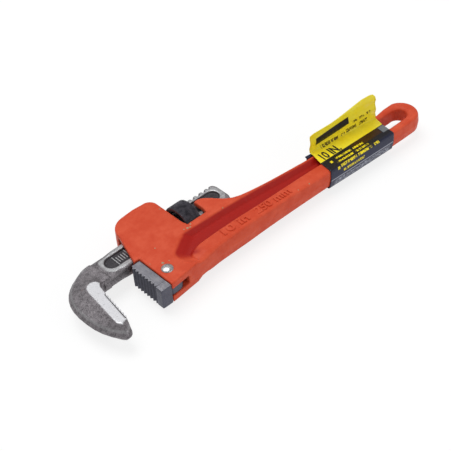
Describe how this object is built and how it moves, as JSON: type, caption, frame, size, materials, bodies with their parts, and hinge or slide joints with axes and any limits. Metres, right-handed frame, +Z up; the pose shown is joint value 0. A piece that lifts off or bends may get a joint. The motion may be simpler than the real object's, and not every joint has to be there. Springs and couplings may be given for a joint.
{
  "type": "pipe wrench",
  "caption": "Adjustable pipe wrench: cast handle with hanging loop, sliding hook jaw moved by a knurled nut, pinned toothed heel jaw and a printed sleeve.",
  "frame": {"origin": "centre of the bounding box's underside", "axes": "+X along the handle to the hanging loop, +Y from the handle to the hook shank, +Z up, square to the wrench's side faces; the wrench lies on its side"},
  "size_m": [0.2376, 0.0639, 0.0373],
  "materials": {
    "handle_paint": "orange-red enamel over a cast surface",
    "forged_steel": "dark forging scale with ground rails",
    "heel_steel": "blue-grey hardened steel",
    "pin_steel": "bright",
    "nut_steel": "black, diamond knurl",
    "spring_steel": "satin",
    "label_card": "glossy printed sleeve in yellow and black"
  },
  "bodies": {
    "handle": {"handle": "handle_paint", "heel_jaw": "heel_steel", "heel_pin": "pin_steel", "coil_spring": "spring_steel", "label_sleeve": "label_card"},
    "flat_spring": {"flat_spring": "spring_steel"},
    "hook_jaw": {"hook_jaw": "forged_steel"},
    "adjusting_nut": {"adjusting_nut": "nut_steel"}
  },
  "joints": [
    {"name": "hook_rock", "type": "hinge", "parent": "handle", "child": "flat_spring", "pos_m": [-0.0366, 0.0107, 0.0105], "axis": [0, 0, 1], "range_deg": [-2, 0], "stiffness_Nm_per_rad": 1.3, "deforming": ["coil_spring"]},
    {"name": "nut_spin", "type": "hinge", "parent": "flat_spring", "child": "adjusting_nut", "pos_m": [-0.0366, 0.0107, 0.0105], "axis": [1, 0, 0], "range_deg": [-1530, 1620]},
    {"name": "hook_slide", "type": "slide", "parent": "flat_spring", "child": "hook_jaw", "axis": [1, 0, 0], "range_m": [-0.01801, 0.017]}
  ],
  "couplings": [
    {"joint": "hook_slide", "follows": "nut_spin", "m_per_rad": -0.00063662}
  ]
}
